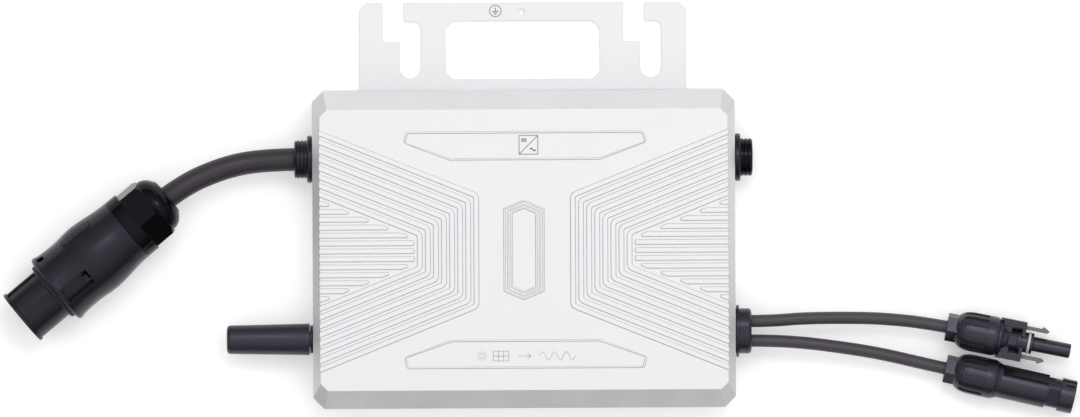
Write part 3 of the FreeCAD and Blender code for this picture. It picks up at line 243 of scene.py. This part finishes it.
def add_light(name, place, target, size, power):
    data = bpy.data.lights.new(name, "AREA")
    data.shape = "RECTANGLE"
    data.size, data.size_y = size
    data.energy = power
    light = bpy.data.objects.new(name, data)
    light.location = place
    light.rotation_euler = (Vector(target) - Vector(place)).to_track_quat("-Z", "Y").to_euler()
    bpy.context.scene.collection.objects.link(light)


def add_floor():
    mesh = bpy.data.meshes.new("floor")
    reach = FLOOR_REACH
    mesh.from_pydata([(-reach, -reach, 0), (reach, -reach, 0), (reach, reach, 0), (-reach, reach, 0)], [],
                     [(0, 1, 2, 3)])
    floor = bpy.data.objects.new("floor", mesh)
    floor.location.z = CAD_LOW.z - FLOOR_GAP
    bpy.context.scene.collection.objects.link(floor)
    mesh.materials.append(grained("pale_floor", grey(0.86), grey(0.9), 0.8, 300.0, 0.00001,
                                  Emission_Color=(1.0, 1.0, 1.0, 1.0), Emission_Strength=FLOOR_GLOW))


def add_world():
    """Soft room light, brightest overhead and brighter towards the top and the right."""
    world = bpy.data.worlds.new("studio")
    world.use_nodes = True
    tree = world.node_tree
    direction = node(tree, "TexCoord").outputs["Generated"]
    facing = node(tree, "VectorMath", {0: direction, 1: ROOM_SLOPE}, operation="DOT_PRODUCT")
    level = node(tree, "Math", {0: facing.outputs["Value"], 1: ROOM_LEVEL}, operation="ADD")
    kept = node(tree, "Math", {0: level.outputs["Value"], 1: ROOM_FLOOR}, operation="MAXIMUM")
    background = tree.nodes["Background"]
    background.inputs["Color"].default_value = (1.0, 1.0, 1.0, 1.0)
    tree.links.new(kept.outputs["Value"], background.inputs["Strength"])
    bpy.context.scene.world = world


def light_studio():
    add_world()
    add_light("key", KEY_PLACE, (0, 0, 0), KEY_SIZE, KEY_POWER)
    bpy.context.scene.view_settings.view_transform = "Standard"


# ---------------------------------------------------------------- leads

def lead(name, route, diameter, node_name, sheath):
    """A smooth lead along its route, in place of its CAD tube."""
    curve = bpy.data.curves.new(name, "CURVE")
    curve.dimensions = "3D"
    curve.bevel_depth = diameter / 2
    curve.bevel_resolution = STEPS_ROUND
    curve.resolution_u = STEPS_ALONG
    curve.use_fill_caps = True
    spline = curve.splines.new("NURBS")
    spline.points.add(len(route) - 1)
    for point, place in zip(spline.points, route):
        point.co = (*place, 1.0)
    spline.order_u = 3
    spline.use_endpoint_u = True
    piece = bpy.data.objects.new(name, curve)
    bpy.context.scene.collection.objects.link(piece)
    curve.materials.append(sheath)
    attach(piece, "inverter")
    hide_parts(node_name)


def add_leads():
    lead("ac_lead", AC_ROUTE, AC_LEAD_DIAMETER, "ac_cable",
         MATERIALS["cable_sheath"])
    lead("dc_lead_upper", DC_UPPER_ROUTE, DC_LEAD_DIAMETER, "dc_cable_upper",
         DC_SHEATH)
    lead("dc_lead_lower", DC_LOWER_ROUTE, DC_LEAD_DIAMETER, "dc_cable_lower",
         DC_SHEATH)


# ---------------------------------------------------------------- marks

FACE_Z = 0.030
BRACKET_Z = 0.002
INK_THICKNESS = 0.00006
SYMBOL_CENTRE = (0.0023, 0.0494)
EARTH_CENTRE = (-0.0128, 0.1118)
ROW_CENTRE = (0.0004, -0.0500)
ROW_STROKE = 0.0004
FRAME_STROKE = 0.00045
SIGN_STROKE = 0.0005
EARTH_STROKE = 0.0003
FRAME_HALF = 0.0044
EARTH_RADIUS = 0.0027
SUN_X, MODULE_X, ARROW_X, WAVE_X = -0.0205, -0.0115, -0.0005, 0.0095
WAVE_LENGTH = 0.0056


def circle(radius, count=40):
    return [(radius * math.cos(2 * math.pi * i / count), radius * math.sin(2 * math.pi * i / count))
            for i in range(count + 1)]


def wave(width, height, centre, count=24):
    return [(centre[0] + width * (i / count - 0.5), centre[1] + height * math.sin(2 * math.pi * i / count))
            for i in range(count + 1)]


def printed(name, strokes, width, centre, height, material):
    """Flat strokes of one width on a surface, each a ribbon along its points."""
    corners, faces = [], []
    for stroke in strokes:
        first = len(corners)
        for i, (x, y) in enumerate(stroke):
            before, after = stroke[max(i - 1, 0)], stroke[min(i + 1, len(stroke) - 1)]
            along = Vector((after[0] - before[0], after[1] - before[1])).normalized() * (width / 2)
            for side in (-1, 1):
                corners.append((centre[0] + x - side * along.y, centre[1] + y + side * along.x,
                                height + INK_THICKNESS))
        faces += [(i, i + 1, i + 3, i + 2) for i in range(first, len(corners) - 3, 2)]
    mesh = bpy.data.meshes.new(name)
    mesh.from_pydata(corners, [], faces)
    mesh.materials.append(material)
    piece = bpy.data.objects.new(name, mesh)
    bpy.context.scene.collection.objects.link(piece)
    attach(piece, "inverter")


def moved(stroke, x):
    return [(px + x, py) for px, py in stroke]


def sun_to_wave_row():
    """A row of plain signs: sun, solar module, arrow and a sine wave."""
    rays = []
    for i in range(8):
        across, up = math.cos(math.pi * i / 4), math.sin(math.pi * i / 4)
        rays.append([(0.0017 * across, 0.0017 * up), (0.0025 * across, 0.0025 * up)])
    sun = [moved(stroke, SUN_X) for stroke in [circle(0.0011, count=20)] + rays]
    wide, high = 0.0036, 0.0023
    module = [[(-wide, y), (wide, y)] for y in (-high, 0.0, high)]
    module += [[(x, -high), (x, high)] for x in (-wide, -wide / 3, wide / 3, wide)]
    tip = (0.003, 0.0)
    arrow = [[(-0.003, 0.0), tip], [(0.0016, 0.0012), tip], [(0.0016, -0.0012), tip]]
    waves = [moved(wave(WAVE_LENGTH, 0.0019, (0.0, 0.0)), WAVE_X + WAVE_LENGTH * i) for i in range(3)]
    module = [moved(stroke, MODULE_X) for stroke in module]
    arrow = [moved(stroke, ARROW_X) for stroke in arrow]
    return sun + module + arrow + waves


def add_marks():
    """Plain signs on the two label fields and the earth sign by the earth hole. The sign row and the earth
    sign are painted shade: flat print in place of marks that are cast or engraved in relief.
    """
    # The row's faint grey print is painted shade: it stands in for the shade of marks cast in relief on the
    # label.
    printed("sign_row", sun_to_wave_row(), ROW_STROKE, ROW_CENTRE, FACE_Z, PAINTED_RELIEF_SHADE)
    half = FRAME_HALF
    frame_lines = [[(-half, -half), (half, -half)], [(half, -half), (half, half)],
                   [(half, half), (-half, half)], [(-half, half), (-half, -half)],
                   [(-half, -half), (half, half)]]
    printed("converter_frame", frame_lines, FRAME_STROKE, SYMBOL_CENTRE, FACE_Z, PRINT_PALE)
    direct = [[(-0.0034, y), (-0.0008, y)] for y in (0.0018, 0.0027)]
    alternating = wave(0.0028, 0.0006, (0.0020, -0.0022))
    printed("converter_sign", direct + [alternating], SIGN_STROKE, SYMBOL_CENTRE, FACE_Z, PRINT_DARK)
    # The earth sign is engraved in the bracket. Its dark print here is painted shade standing in for the
    # shade in the engraved grooves.
    stem = [(0, 0.0017), (0, -0.0002)]
    earth_bars = ((0.0015, -0.0002), (0.001, -0.0009), (0.0005, -0.0016))
    bars = [[(-reach, y), (reach, y)] for reach, y in earth_bars]
    printed("earth_sign", [circle(EARTH_RADIUS), stem, *bars], EARTH_STROKE, EARTH_CENTRE, BRACKET_Z,
            PRINT_DARK)


# ---------------------------------------------------------------- build

finish_nodes()
add_camera()
light_studio()
add_floor()
add_leads()
add_marks()
